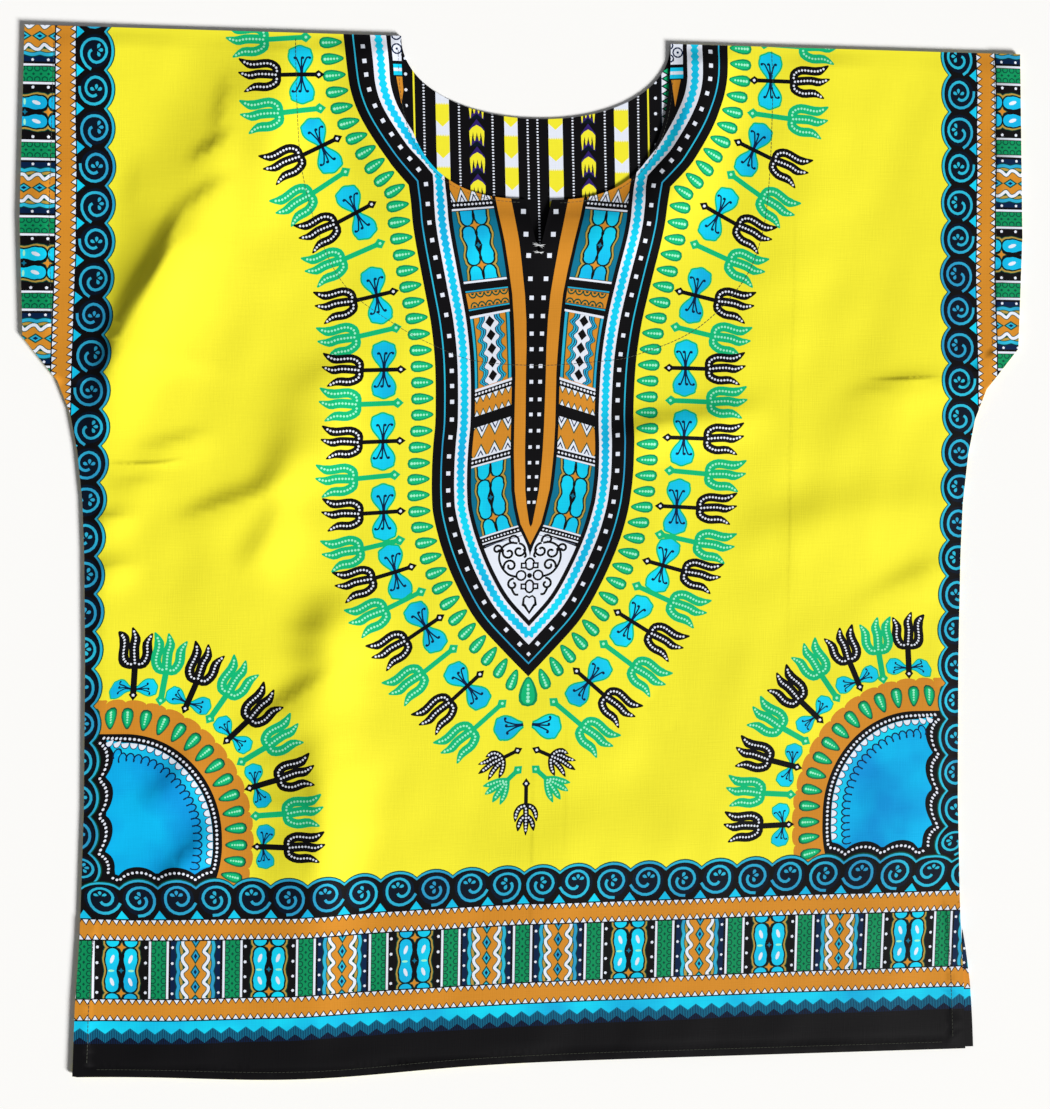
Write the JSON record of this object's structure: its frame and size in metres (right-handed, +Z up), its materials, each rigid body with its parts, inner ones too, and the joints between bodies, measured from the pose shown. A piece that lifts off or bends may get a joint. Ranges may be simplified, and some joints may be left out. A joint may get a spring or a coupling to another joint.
{
  "type": "dashiki shirt",
  "caption": "Wide pull-over shirt with cap sleeves cut in one with the body, a scooped front neck with a short slit, and side vents, laid flat with soft folds",
  "frame": {"origin": "Under the middle of the shirt, on the surface that it lies on", "axes": "+X towards the wearer's left side, +Y towards the neck, +Z up from the surface"},
  "size_m": [0.7704, 0.799, 0.0163],
  "materials": {
    "printed_cotton": "smooth printed cotton with a slight sheen"
  },
  "bodies": {
    "root": {"front_panel": "printed_cotton", "back_panel": "printed_cotton"}
  },
  "joints": []
}
